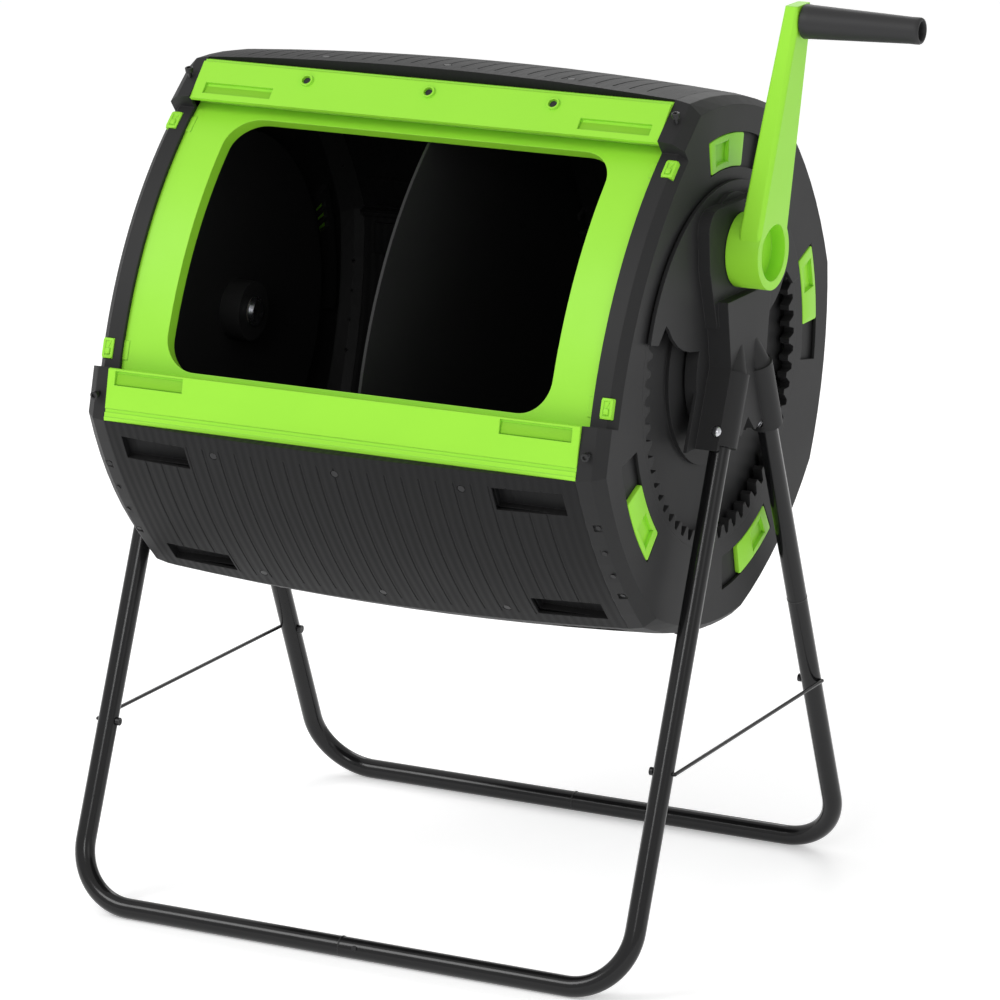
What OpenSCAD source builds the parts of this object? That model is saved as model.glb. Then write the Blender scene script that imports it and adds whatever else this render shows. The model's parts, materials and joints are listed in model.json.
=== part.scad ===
// Compost tumbler: a two-chamber drum on a folded tube stand, turned by a geared crank.
// Origin on the floor under the middle of the stand; +X to the crank side, +Y to the rear, +Z up.

/* [Stand] */
// Distance between the left and right leg centre-lines
stand_w = 840; // [780:1:1000]
// Distance between the front and rear floor bars
stand_d = 708; // [620:1:860]
// Height at which the leg centre-lines would meet
apex_z = 873; // [800:1:1020]
// Outside diameter of the stand tube
tube_d = 28; // [25:0.5:32]
// Wall of the stand tube
tube_wall = 1.5; // [1:0.1:2.5]
// Radius of the tube bends at the centre-line
bend_r = 85; // [60:1:120]
// Height of the joint between the two tubes of a rear leg
leg_joint_z = 420; // [350:1:480]
// Diameter of the brace rods
brace_d = 5.2; // [4:0.1:7]
// Height of the left brace rod
brace_z_left = 246; // [200:1:330]
// Height of the right brace rod
brace_z_right = 288; // [200:1:330]

/* [Drum] */
// Height of the drum's axis
axis_z = 783; // [760:1:900]
// Length of the drum over the end caps
drum_len = 772; // [760:1:776]
// Width of the rim of an end cap
rim_w = 35; // [33:1:40]
// Distance from the axis to the middle of a side
side_r = 363; // [355:1:368]
// Distance from the axis to a corner
corner_r = 377; // [374:1:384]
// How far the sides bulge at mid-length
crown = 13; // [6:1:16]
// Wall of the side panels
panel_wall = 4; // [3:0.5:5]
// Wall of the end caps
cap_wall = 5; // [4:0.5:6]
// Radius of the curve of the door frame
door_arc_r = 600; // [560:1:640]
// Distance from the axis to the middle of the door frame
door_mid_r = 291; // [286:1:294]
// Width of the door opening
opening_w = 574; // [480:1:590]
// Height of the door opening across its curve
opening_h = 368; // [300:1:370]
// Corner radius of the door opening
opening_corner_r = 46; // [30:1:60]
// Depth of the rim round the door opening
opening_rim = 20; // [12:1:22]
// Thickness of the divider
divider_t = 4; // [3:0.5:6]

/* [Gears] */
// Pitch radius of the ring gear
ring_pitch_r = 230; // [228:0.5:231]
// Teeth of the ring gear
ring_teeth = 60; // [60:6:66]
// Teeth of the pinion
pinion_teeth = 18; // [17:1:19]
// Depth of a tooth inside its pitch circle on the ring
tooth_add = 7.4; // [6:0.1:7.5]
// Width of the gears along their axis
gear_w = 14; // [10:1:15]
// Play between the flanks of two teeth
backlash = 0.8; // [0.6:0.1:1.2]

/* [Bearings] */
// Diameter of the drum's stub axles
axle_d = 30; // [26:1:32]
// Diameter of the crank shaft
shaft_d = 20; // [16:1:22]
// Radial clearance of a running fit
run_gap = 0.05; // [0.02:0.01:0.1]
// Wall of the bearing bushes
bush_wall = 4; // [3:0.5:5]

/* [Crank] */
// Throw from the crank shaft to the grip
crank_throw = 311; // [260:1:330]
// Radius of the crank's hub
crank_hub_r = 50; // [46:1:52]
// Depth of the crank's hub along the shaft
crank_hub_w = 47; // [44:1:50]
// How far the arm leans out between hub and grip
crank_lean = 38; // [32:1:50]
// Length of the grip
grip_len = 165; // [120:1:180]
// Diameter of the grip at the arm
grip_d_in = 46; // [36:1:46]
// Diameter of the grip at its free end
grip_d_out = 34; // [32:1:36]
// Diameter of the grip's pin
grip_pin_d = 12; // [10:0.5:14]

/* [Vents] */
// Inner radius of the vent slots
vent_r0 = 266; // [264:1:268]
// Outer radius of the vent slots
vent_r1 = 313; // [308:1:314]
// Angle that a vent slot spans
vent_span = 31; // [28:0.5:32]
// Angle that a vent slider spans
slider_span = 20; // [17:0.5:21]
// Thickness of a vent slider's face
slider_t = 4.6; // [4:0.1:5]

/* [Hidden] */
$fn = 128;
eps = 0.02;
far = 2000;

green = [0.66, 0.93, 0.31];
dark = [0.23, 0.23, 0.24];
black = [0.05, 0.05, 0.055];
steel = [0.72, 0.73, 0.75];
nylon = [0.86, 0.85, 0.8];

// Stand
tube_r = tube_d / 2;
leg_x = stand_w / 2;
lean = atan2(stand_d / 2, apex_z - tube_r);
leg_top_z = axis_z - 18;
socket_low_z = axis_z - 91;
socket_top_z = axis_z + 2;
socket_r = tube_r + 8;
swage_len = 50;
fit = 0.1;

// Drum
cap_x = drum_len / 2;
rim_x = cap_x - rim_w;
first_corner = 78;
door_dir = first_corner - 45;
door_centre = door_mid_r - door_arc_r;
door_half_arc = 18.4;
rim_proud = 6;
rim_bevel = 12;
face_side_r = side_r - 14;
face_corner_r = corner_r - 19;
well_r = ring_pitch_r + 15;
well_floor_x = cap_x - gear_w - 6;
floor_t = 6;
hub_r = 42;
hub_step_r = 135;
hub_in_x = well_floor_x - 36;
opening_angle_low = door_dir - door_half_arc;

// Rails: corners of their cross-sections, across the drum (rear, up) from its axis
upper_lip = [-132, 321];
upper_knee = [-91, 365];
upper_end = (corner_r - 3) * [-cos(first_corner), sin(first_corner)];
lower_lip = [-354.5, -10];
lower_knee = [-369, -78];
lower_end = (corner_r - 3) * [-cos(first_corner - 90), sin(first_corner - 90)];
rail_wall = 5.5;

// Gears
gear_module = 2 * ring_pitch_r / ring_teeth;
pinion_pitch_r = pinion_teeth * gear_module / 2;
gear_offset = ring_pitch_r - pinion_pitch_r;
crank_z = axis_z + gear_offset;
ring_tip_r = ring_pitch_r - tooth_add;
ring_root_r = ring_pitch_r + tooth_add;
pinion_tip_r = pinion_pitch_r + tooth_add - 0.8;
pinion_root_r = pinion_pitch_r - tooth_add - 0.6;
pressure_angle = 20;

// Brackets
plate_x = cap_x + 3;
plate_t = 5;
column_x = cap_x + 40;
column_wall = 4;
fan_r = 250;
fan_low = 18;
boss_r = 60;
boss_x = cap_x + 25;
head_half_w = boss_r + 38;
neck_half_w = boss_r + 9;
bearing_r = 95;
bearing_x = well_floor_x + 10;
axle_boss_r = axle_d / 2 + 8;
bush_boss_r = shaft_d / 2 + bush_wall + 7;

// Crank
hub_x0 = boss_x + 1;
hub_x1 = hub_x0 + crank_hub_w;
arm_top_z = crank_z + crank_throw + 22;
arm_t_low = 30;
arm_t_top = 18;
grip_x0 = hub_x1 + crank_lean + 1;
grip_x1 = grip_x0 + grip_len;
grip_z = crank_z + crank_throw;
cup_r = crank_hub_r - 12;
cup_depth = 20;

// Vents
vent_starts = [81, 159, 237, 316];
vent_lip = 3;
slot_depth = 4;
track_depth = 2.4;
vent_backing = 6;

// A point at a radius and an angle; angles rise from the front (-Y) towards the top (+Z)
function spot(r, a) = r * [-cos(a), sin(a)];
function side_rho(rm, rc) =
    let (h = rc * sin(22.5), s = rm - rc * cos(22.5)) (h * h + s * s) / (2 * s);
function side_beta(rm, rc) = asin(rc * sin(22.5) / side_rho(rm, rc));
function side_arc(rm, rc, mid, n = 8) =
    let (rho = side_rho(rm, rc), beta = side_beta(rm, rc))
    [for (i = [0 : n]) spot(rm - rho, mid) + spot(rho, mid + beta * (2 * i / n - 1))];
function drum_outline(rm, rc) =
    [for (k = [0 : 5]) each side_arc(rm, rc, first_corner + 22.5 + 45 * k)];
function cap_outline(rm, rc) = concat(drum_outline(rm, rc), [spot(rm - 12, door_dir)]);
function door_arc(r, half, n = 16) =
    [for (i = [0 : n]) spot(door_centre, door_dir) + spot(r, door_dir + half * (2 * i / n - 1))];
function arc_points(r, a0, a1, n) = [for (i = [0 : n]) spot(r, a0 + (a1 - a0) * i / n)];

// Involute gear outline
function inv(r, rb) = let (c = min(1, rb / r), a = acos(c)) tan(a) * 180 / PI - a;
function tooth_side(n, rp, r, thin) =
    let (rb = rp * cos(pressure_angle))
    90 / n - thin * 90 / (PI * rp) + inv(rp, rb) - inv(max(r, rb), rb);
function gear_outline(n, rp, rr, rt, thin) =
    [for (k = [0 : n - 1]) let (a = 90 + 360 * k / n)
        each concat(
            [for (i = [0 : 3]) let (r = rr + (rt - rr) * i / 3)
                spot(r, a - tooth_side(n, rp, r, thin))],
            [for (i = [3 : -1 : 0]) let (r = rr + (rt - rr) * i / 3)
                spot(r, a + tooth_side(n, rp, r, thin))])];

// Draws a (rear, up) shape as a slab across the drum from x0 to x1
module across(x0, x1) {
    translate([x0, 0, 0]) rotate([90, 0, 90]) linear_extrude(height = x1 - x0) children();
}

// A rod along X
module rod(x0, x1, r) {
    translate([x0, 0, 0]) rotate([0, 90, 0]) cylinder(h = x1 - x0, r = r);
}

module rod_ring(x0, x1, r0, r1) {
    difference() {
        rod(x0, x1, r1);
        rod(x0 - 1, x1 + 1, r0);
    }
}

// A ring sector about an axis along X, between two angles
module sector(x0, x1, r0, r1, a0, a1) {
    rotate([90, 0, 90]) rotate([0, 0, 180 - a1])
        rotate_extrude(angle = a1 - a0, $fn = 256)
            translate([r0, x0]) square([r1 - r0, x1 - x0]);
}

module at_axis() {
    translate([0, 0, axis_z]) children();
}

module at_crank() {
    translate([0, 0, crank_z]) children();
}

// A flat strip between two points of a cross-section, t thick on its inner side
module strip(p, q, t) {
    d = q - p;
    polygon([p, q, q + t * [d[1], -d[0]] / norm(d), p + t * [d[1], -d[0]] / norm(d)]);
}

module mirrored_x() {
    mirror([1, 0, 0]) children();
}

// Stand ---------------------------------------------------------------

// Places a leg frame: local X across, local Z up the leg, from the middle of a floor bar
module at_frame(side) {
    translate([0, side * stand_d / 2, tube_r]) rotate([side * lean, 0, 0]) children();
}

function up_leg(z) = (z - tube_r) / cos(lean);

module tube(h, r, wall) {
    difference() {
        cylinder(h = h, r = r);
        translate([0, 0, -1]) cylinder(h = h + 2, r = r - wall);
    }
}

// One half of a floor frame: half the floor bar, the bend, and a leg up to height z_top
module leg_half(z_top) {
    translate([leg_x, 0, bend_r]) tube(up_leg(z_top) - bend_r, tube_r, tube_wall);
    translate([leg_x - bend_r, 0, bend_r]) rotate([90, 90, 0])
        rotate_extrude(angle = 90) translate([bend_r, 0])
            difference() {
                circle(r = tube_r);
                circle(r = tube_r - tube_wall);
            }
    rotate([0, 90, 0]) tube(leg_x - bend_r, tube_r, tube_wall);
}

// A narrowed end, h long, that slides into the next tube; it starts inside its own tube
module swage(h) {
    tube(h, tube_r - tube_wall - fit, tube_wall);
    translate([0, 0, -15]) tube(15, tube_r - tube_wall / 2, 1.5 * tube_wall);
}

// Holes through the legs of one side of the stand, for its brace rod and socket bolts
module leg_holes(z) {
    for (s = [-1, 1]) translate([leg_x - tube_d, s * leg_y(z), z])
        rotate([0, 90, 0]) cylinder(h = 2 * tube_d, r = brace_d / 2);
    socket_bolt_holes();
}

module front_right_leg() {
    color(black) difference() {
        at_frame(-1) leg_half(leg_top_z);
        leg_holes(brace_z_right);
    }
}

module front_left_leg() {
    color(black) difference() {
        at_frame(-1) {
            mirrored_x() leg_half(leg_top_z);
            rotate([0, 90, 0]) swage(swage_len);
        }
        mirrored_x() leg_holes(brace_z_left);
    }
}

module rear_right_foot() {
    color(black) difference() {
        at_frame(1) leg_half(leg_joint_z);
        leg_holes(brace_z_right);
    }
}

module rear_left_foot() {
    color(black) difference() {
        at_frame(1) {
            mirrored_x() leg_half(leg_joint_z);
            rotate([0, 90, 0]) swage(swage_len);
        }
        mirrored_x() leg_holes(brace_z_left);
    }
}

module upper_tube() {
    low = up_leg(leg_joint_z);
    difference() {
        at_frame(1) translate([leg_x, 0, low]) {
            tube(up_leg(leg_top_z) - low, tube_r, tube_wall);
            mirror([0, 0, 1]) swage(swage_len);
        }
        socket_bolt_holes();
    }
}

module rear_right_leg() {
    color(black) upper_tube();
}

module rear_left_leg() {
    color(black) mirrored_x() upper_tube();
}

// Spring buttons that lock the tube joints, proud of the outer tube
module tube_buttons() {
    proud = 1.6;
    color(black) {
        for (s = [-1, 1]) at_frame(s) translate([swage_len / 2, 0, 0])
            rotate([90, 0, 0]) translate([0, 0, s < 0 ? tube_r : -tube_r - proud])
                cylinder(h = proud, r = 3.5);
        for (s = [-1, 1]) at_frame(1)
            translate([s * leg_x, tube_r, up_leg(leg_joint_z) - swage_len / 2])
                rotate([-90, 0, 0]) cylinder(h = proud, r = 3.5);
    }
}

brace_x = leg_x + tube_r + brace_d / 2;
function leg_y(z) = (apex_z - z) * tan(lean);

// A rod outside the legs, its two ends bent in through them
module brace(z) {
    y = leg_y(z);
    inner_x = leg_x - tube_r - 5;
    translate([brace_x, -y, z]) rotate([-90, 0, 0]) cylinder(h = 2 * y, r = brace_d / 2);
    for (s = [-1, 1]) translate([brace_x, s * y, z]) {
        sphere(r = brace_d / 2);
        translate([inner_x - brace_x, 0, 0]) rotate([0, 90, 0])
            cylinder(h = brace_x - inner_x, r = brace_d / 2);
    }
}

module right_brace_rod() {
    color(black) brace(brace_z_right);
}

module left_brace_rod() {
    color(black) mirrored_x() brace(brace_z_left);
}

// Push-on caps that keep the rod ends in the legs
module rod_caps() {
    color(black) for (m = [0, 1], s = [-1, 1]) mirror([m, 0, 0]) {
        z = m ? brace_z_left : brace_z_right;
        translate([0, s * leg_y(z), z])
            rod_ring(leg_x - tube_r - 5, leg_x - tube_r, brace_d / 2, brace_d / 2 + 3);
    }
}

// Brackets ------------------------------------------------------------

// Half-width of the column at a height: follows the leg sockets, then the crank boss
function socket_edge(z) = leg_y(z) + socket_r / cos(lean);

column_waist_z = axis_z + 12;
column_neck_z = crank_z - crank_hub_r - 14;
function column_half(grow) = [
    [socket_edge(socket_low_z) + grow, socket_low_z],
    [socket_edge(column_waist_z) + grow, column_waist_z],
    [neck_half_w + grow, column_neck_z]];

module column_outline(grow, top) {
    half = column_half(grow);
    notch = [[0, socket_low_z + 26 - grow], [26 - grow, socket_low_z]];
    right = concat(notch, half, [[neck_half_w + grow, top], [0, top]]);
    for (m = [0, 1]) mirror([m, 0]) polygon(right);
}

// The fan that covers the top of the gear well; its lower edge is notched beside the column
module fan_outline() {
    edge = [[-70, 38], [-96, 40], [-119, 44], [-138, 50], [-155, 59], [-170, 71],
        [-182, 86], [-191, 94], [-214, 72]];
    rim = arc_points(fan_r, fan_low, 90, 24);
    for (m = [0, 1]) mirror([m, 0])
        polygon(concat([[0, 38]], edge, rim));
}

module bracket_base() {
    at_axis() across(plate_x, plate_x + plate_t) fan_outline();
    across(plate_x, plate_x + plate_t) column_outline(26, crank_z);
    at_axis() rod(bearing_x, plate_x + plate_t, bearing_r);
    at_crank() rod(plate_x, plate_x + plate_t + 6, boss_r + 16);
}

module leg_sockets() {
    for (s = [-1, 1]) at_frame(s) {
        translate([leg_x, 0, up_leg(socket_low_z)])
            cylinder(h = up_leg(socket_top_z) - up_leg(socket_low_z), r = socket_r);
    }
}

// Blends the top of a socket into the face of the column
module socket_shoulder() {
    top = up_leg(socket_top_z);
    hull() {
        translate([leg_x, 0, top - 12]) cylinder(h = 2, r = socket_r - 0.7, $fn = 48);
        translate([leg_x - 12, 0, top + 66]) cylinder(h = 2, r = socket_r - 13, $fn = 48);
    }
}

// The head of the column, behind the crank's hub
module head_outline() {
    w = head_half_w;
    top = crank_z + boss_r + 6;
    for (m = [0, 1]) mirror([m, 0])
        polygon(concat([[0, column_neck_z - 30], [neck_half_w, column_neck_z - 30],
            [w - 4, column_neck_z + 50]],
            [for (a = [0 : 10 : 90]) [w - 28 + 28 * cos(a), top - 28 + 28 * sin(a)]], [[0, top]]));
}

// Column, sockets and bearing bosses; the crank side also has the crank's boss
module bracket(with_crank) {
    top = column_neck_z + 6;
    difference() {
        union() {
            bracket_base();
            difference() {
                across(plate_x + plate_t - 1, column_x) column_outline(0, top);
                across(plate_x + plate_t + eps, column_x - column_wall)
                    column_outline(-column_wall, top - column_wall);
            }
            across(plate_x, boss_x) head_outline();
            for (s = [-1, 1]) at_frame(s) socket_shoulder();
            at_axis() rod(bearing_x, column_x, axle_boss_r);
            leg_sockets();
        }
        for (s = [-1, 1]) at_frame(s)
            translate([leg_x, 0, -1]) cylinder(h = up_leg(leg_top_z) + 1, r = tube_r);
        at_axis() rod(bearing_x - 1, column_x - column_wall, axle_d / 2);
        if (with_crank) at_crank() rod(plate_x - 8, boss_x + 1, shaft_d / 2 + bush_wall);
        for (p = [[-18, axis_z + 6], [-30, axis_z - 40]])
            translate([column_x - 2, p[0] - 2, p[1] - 7]) cube([10, 4, 14]);
        if (with_crank) at_crank() rod(bearing_x - 1, cap_x + 1, pinion_tip_r + 2);
        socket_bolt_holes();
        at_socket_bolts() {
            translate([0, 0, -socket_r - 40]) cylinder(h = 40 + spot_face, r = 8);
            translate([0, 0, socket_r - spot_face]) cylinder(h = 20, r = 8);
        }
    }
}

module right_bracket() {
    color(dark) bracket(true);
}

module left_bracket() {
    color(dark) mirrored_x() bracket(false);
}

bolt_r = 3;
spot_face = 0.8;
bolt_z = socket_low_z + 16;

// Places the children on each leg, pointing out behind or before the stand
module at_socket_bolts() {
    for (s = [-1, 1]) at_frame(s) translate([leg_x, 0, up_leg(bolt_z)])
        rotate([-90 * s, 0, 0]) children();
}

module socket_bolt_holes() {
    at_socket_bolts() translate([0, 0, -40]) cylinder(h = 80, r = bolt_r);
}

// Carriage bolts through each socket and leg
module socket_bolts() {
    color(steel) for (m = [0, 1]) mirror([m, 0, 0]) at_socket_bolts() {
        translate([0, 0, -socket_r - 7]) cylinder(h = 2 * socket_r + 7 - spot_face, r = bolt_r);
        translate([0, 0, socket_r - spot_face]) intersection() {
            cylinder(h = 6, r = 7);
            translate([0, 0, -5]) sphere(r = 9);
        }
    }
}

module socket_nuts() {
    color(steel) for (m = [0, 1]) mirror([m, 0, 0]) at_socket_bolts()
        translate([0, 0, spot_face - socket_r - 5]) difference() {
            cylinder(h = 5, r = 6, $fn = 6);
            translate([0, 0, -1]) cylinder(h = 7, r = bolt_r);
        }
}

// Axles and bushes ------------------------------------------------------

axle_in_x = hub_in_x - 8;
groove_x = hub_in_x - 4;
groove_w = 2;
groove_depth = 2;

module axle() {
    at_axis() difference() {
        rod(axle_in_x, column_x - column_wall, axle_d / 2);
        rod_ring(groove_x, groove_x + groove_w, axle_d / 2 - groove_depth, axle_d);
    }
}

module right_axle() {
    color(steel) axle();
}

module left_axle() {
    color(steel) mirrored_x() axle();
}

// Retaining clips in the axle grooves, inside the drum
module axle_clips() {
    color(steel) for (m = [0, 1]) mirror([m, 0, 0]) at_axis()
        rod_ring(groove_x, groove_x + groove_w, axle_d / 2 - groove_depth, axle_d / 2 + 6);
}

module hub_bush() {
    at_axis() rod_ring(hub_in_x, well_floor_x + 6, axle_d / 2 + run_gap, axle_d / 2 + bush_wall);
}

module right_hub_bush() {
    color(nylon) hub_bush();
}

module left_hub_bush() {
    color(nylon) mirrored_x() hub_bush();
}

module crank_bush() {
    color(nylon) at_crank()
        rod_ring(plate_x, boss_x, shaft_d / 2 + run_gap, shaft_d / 2 + bush_wall);
}

// End caps --------------------------------------------------------------

// Everything outside the curve of the door, between the two rails, with the rim's bevel
module door_cut(r, half) {
    at_door() revolve(door_dir - half, door_dir + half)
        polygon([[r, rim_x - 30], [r, cap_x - rim_bevel], [r - rim_bevel - 30, cap_x + 30],
            [r + 200, cap_x + 30], [r + 200, rim_x - 30]]);
}

// The outer form of a cap, shrunk on every side by inset
module cap_form(inset) {
    difference() {
        at_axis() hull() {
            across(rim_x, rim_x + 1) polygon(cap_outline(side_r - inset, corner_r - inset));
            across(cap_x - 16 - inset, cap_x - 15 - inset)
                polygon(cap_outline(side_r - 3 - inset, corner_r - 4 - inset));
            across(cap_x - 1 - inset, cap_x - inset)
                polygon(cap_outline(face_side_r - inset, face_corner_r - inset));
        }
        door_cut(door_arc_r + rim_proud - inset, door_half_arc + inset / door_arc_r * 180 / PI);
    }
}

// Where a vent slot starts, for the vent numbered i
module vent_backings() {
    for (a = vent_starts)
        sector(cap_x - slot_depth - track_depth - vent_backing, cap_x - cap_wall + 1,
            vent_r0 - 7, vent_r1 + 7, a - 1.5, a + vent_span + 1.5);
}

module vent_slots() {
    for (a = vent_starts) {
        sector(cap_x - slot_depth, cap_x + 1, vent_r0, vent_r1, a, a + vent_span);
        sector(cap_x - slot_depth - track_depth, cap_x - slot_depth + eps,
            vent_r0 - vent_lip, vent_r1 + vent_lip, a, a + vent_span);
        for (k = [0 : 2]) sector(cap_x - 20, cap_x, vent_r0 + 10, vent_r1 - 10,
            a + 1.2 + 3 * k, a + 3.2 + 3 * k);
    }
}

clip_arc = 1.35;
clip_x0 = rim_x + 12;
clip_x1 = rim_x + 29;
clip_spots = [door_dir - door_half_arc + 2.4, door_dir + door_half_arc - 2.4];

// A block on the curve of the door, between two radii
module door_block(x0, x1, r0, r1, a0, a1) {
    at_door() sector(x0, x1, r0, r1, a0, a1);
}

// Moves the children from the origin to the centre of the door's curve
module at_door() {
    at_axis() translate([0, spot(door_centre, door_dir)[0], spot(door_centre, door_dir)[1]])
        children();
}

// Square pockets along the rim, each with its screw hole
rim_screw_x = rim_x + 15;
rim_screw_angles = [for (k = [1 : 5], t = [-10.5, -3.5, 3.5, 10.5]) first_corner + 22.5 + 45 * k + t];
module at_rim_screws(r) {
    for (a = rim_screw_angles) at_axis()
        translate([rim_screw_x, spot(r, a)[0], spot(r, a)[1]]) rotate([90 - a, 0, 0]) children();
}

corner_angles = [first_corner - 5, first_corner - 90 + 5];
module at_corner_screws(r) {
    for (a = corner_angles) at_axis()
        translate([rim_x + 14, spot(r, a)[0], spot(r, a)[1]]) rotate([90 - a, 0, 0]) children();
}

module end_cap() {
    difference() {
        union() {
            difference() {
                cap_form(0);
                difference() {
                    cap_form(cap_wall);
                    translate([0, -far / 2, 0]) cube([rim_x, far, far]);
                }
                translate([rim_x - 1, 0, 0]) at_axis()
                    rod(0, rim_w - cap_wall + 0.9 - 1, side_r - 90);
            }
            at_axis() rod(well_floor_x - floor_t, cap_x - 1, well_r + cap_wall);
            at_axis() rod(hub_in_x, well_floor_x + 6, hub_r);
            at_axis() vent_backings();
        }
        difference() {
            at_axis() rod(well_floor_x, cap_x + 1, well_r);
            at_axis() rod(well_floor_x - 1, well_floor_x + 6, hub_step_r);
        }
        at_axis() rod(hub_in_x - 1, cap_x, axle_d / 2 + bush_wall);
        at_axis() vent_slots();
        for (a = clip_spots)
            door_block(clip_x0, clip_x1, door_arc_r - 10, door_arc_r + 20, a - clip_arc, a + clip_arc);
        at_rim_screws(side_r) {
            translate([-6, -6, -1.5]) cube([12, 12, 30]);
            translate([0, 0, -20]) cylinder(h = 40, r = 2);
        }
        at_corner_screws(corner_r - 12) {
            translate([0, 0, 2]) cylinder(h = 30, r = 8);
            translate([0, 0, -20]) cylinder(h = 40, r = 2.5);
        }
    }
}

module right_end_cap() {
    color(dark) end_cap();
}

module left_end_cap() {
    color(dark) mirrored_x() end_cap();
}

// Small screws that hold the panels to a cap's rim
module rim_screw_set() {
    at_rim_screws(side_r) {
        translate([0, 0, -8]) cylinder(h = 7, r = 2);
        translate([0, 0, -1.5]) cylinder(h = 1.2, r = 3.4);
    }
}

module right_rim_screws() {
    color(black) rim_screw_set();
}

module left_rim_screws() {
    color(black) mirrored_x() rim_screw_set();
}

module corner_screws() {
    color(black) for (m = [0, 1]) mirror([m, 0, 0]) at_corner_screws(corner_r - 12) {
        translate([0, 0, -12]) cylinder(h = 14, r = 2.5);
        translate([0, 0, 2]) cylinder(h = 3, r = 5.5);
    }
}

module ring_gear() {
    color(dark) at_axis() difference() {
        rod(well_floor_x + 6, cap_x, well_r);
        across(well_floor_x, cap_x + 1)
            polygon(gear_outline(ring_teeth, ring_pitch_r, ring_tip_r, ring_root_r, -backlash / 2));
    }
}

// Panels ----------------------------------------------------------------

groove_pitch = 25;
groove_t = 2.4;
groove_sink = 0.8;
flange_t = 4;
flange_depth = 18;
margin_x = 40;

function bulge(x) = crown * (1 - pow(x / rim_x, 2));
panel_rho = side_rho(side_r, corner_r);
panel_beta = side_beta(side_r, corner_r);

// Places a revolved section about the centre of a side's curve
module at_side(mid) {
    at_axis() translate([0, spot(side_r - panel_rho, mid)[0], spot(side_r - panel_rho, mid)[1]])
        children();
}

module revolve(a0, a1) {
    rotate([90, 0, 90]) rotate([0, 0, 180 - a1]) rotate_extrude(angle = a1 - a0, $fn = 256)
        children();
}

// A crowned band between two depths under a panel's surface
module panel_section(top, bottom, reach) {
    n = 12;
    xs = [for (i = [0 : n]) reach * (2 * i / n - 1)];
    outer = [for (x = xs) [panel_rho + bulge(x) - top, x]];
    inner = [for (i = [n : -1 : 0]) [panel_rho + bulge(xs[i]) - bottom, xs[i]]];
    polygon(concat(outer, inner));
}

module groove_section() {
    reach = rim_x - margin_x;
    count = floor(reach / groove_pitch);
    for (k = [-count : count]) let (x = k * groove_pitch)
        translate([panel_rho + bulge(x) - groove_sink, x - groove_t / 2]) square([9, groove_t]);
}

// The slice of the drum that a panel may fill
module panel_slice(mid) {
    at_axis() across(-rim_x, rim_x)
        polygon([[0, 0], spot(far / 3, mid - 22.5), spot(far / 3, mid + 22.5)]);
}

// A wall's thickness inside one edge of a panel, where its flange stands
module edge_strip(mid, side) {
    a = mid + side * 22.5;
    r0 = corner_r - flange_depth - 1;
    inward = -side * flange_t * [sin(a), cos(a)];
    at_axis() across(-rim_x, rim_x)
        polygon([spot(r0, a), spot(far / 3, a), spot(far / 3, a) + inward, spot(r0, a) + inward]);
}

// The room between the two flanges of a panel
module between_flanges(mid) {
    a = mid - 22.5;
    b = mid + 22.5;
    up = flange_t * [sin(a), cos(a)];
    down = -flange_t * [sin(b), cos(b)];
    at_axis() across(-rim_x - 1, rim_x + 1)
        polygon([spot(far / 8, a) + up, spot(far / 3, a) + up,
            spot(far / 3, b) + down, spot(far / 8, b) + down]);
}

pocket_l = 100;
pocket_w = 37;
pocket_depth = 10;
pocket_x = rim_x - 72;

// Hand-hold pockets near the four corners of a panel
module at_pockets(mid) {
    for (s = [-1, 1], t = [-1, 1]) at_side(mid)
        rotate([0, 0, 0]) translate([s * pocket_x,
            spot(panel_rho, mid + t * panel_beta * 0.72)[0],
            spot(panel_rho, mid + t * panel_beta * 0.72)[1]])
        rotate([90 - mid - t * panel_beta * 0.72, 0, 0]) children();
}

screw_xs = [-185, 0, 185];
module at_panel_screws(mid, side, xs = screw_xs) {
    a = mid + side * panel_beta * 0.8;
    for (x = xs) at_side(mid)
        translate([x, spot(panel_rho + bulge(x), a)[0], spot(panel_rho + bulge(x), a)[1]])
        rotate([90 - a, 0, 0]) children();
}

module side_panel(k, with_pockets = true) {
    mid = first_corner + 22.5 + 45 * k;
    difference() {
        union() {
            difference() {
                intersection() {
                    at_side(mid) revolve(mid - panel_beta - 2, mid + panel_beta + 2)
                        panel_section(0, flange_depth, rim_x);
                    panel_slice(mid);
                }
                intersection() {
                    at_side(mid) revolve(mid - panel_beta - 2, mid + panel_beta + 2)
                        panel_section(panel_wall, flange_depth + 5, rim_x + 1);
                    between_flanges(mid);
                }
            }
            if (with_pockets) at_pockets(mid)
                translate([-pocket_l / 2 - 3, -pocket_w / 2 - 3, -pocket_depth - 3])
                    cube([pocket_l + 6, pocket_w + 6, pocket_depth + 2]);
        }
        at_side(mid) revolve(mid - panel_beta + 1.6, mid + panel_beta - 1.6) groove_section();
        if (with_pockets) at_pockets(mid)
            translate([-pocket_l / 2, -pocket_w / 2, -pocket_depth])
                cube([pocket_l, pocket_w, pocket_depth + 20]);
        for (s = [-1, 1]) at_panel_screws(mid, s) {
            translate([0, 0, -30]) cylinder(h = 60, r = 2.5);
            translate([0, 0, -1.5]) cylinder(h = 10, r = 6);
        }
    }
}

module top_panel() {
    color(dark) side_panel(0, false);
}

module rear_top_panel() {
    color(dark) side_panel(1);
}

module rear_panel() {
    color(dark) side_panel(2);
}

module rear_low_panel() {
    color(dark) side_panel(3);
}

module bottom_panel() {
    color(dark) side_panel(4);
}

module front_low_panel() {
    color(dark) side_panel(5);
}

module panel_screws() {
    color(black) for (k = [0 : 5], s = [-1, 1])
        at_panel_screws(first_corner + 22.5 + 45 * k, s) {
            translate([0, 0, -10]) cylinder(h = 9, r = 2.5);
            translate([0, 0, -1.5]) cylinder(h = 1.4, r = 5);
        }
}

// Door frame and rails --------------------------------------------------

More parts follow.
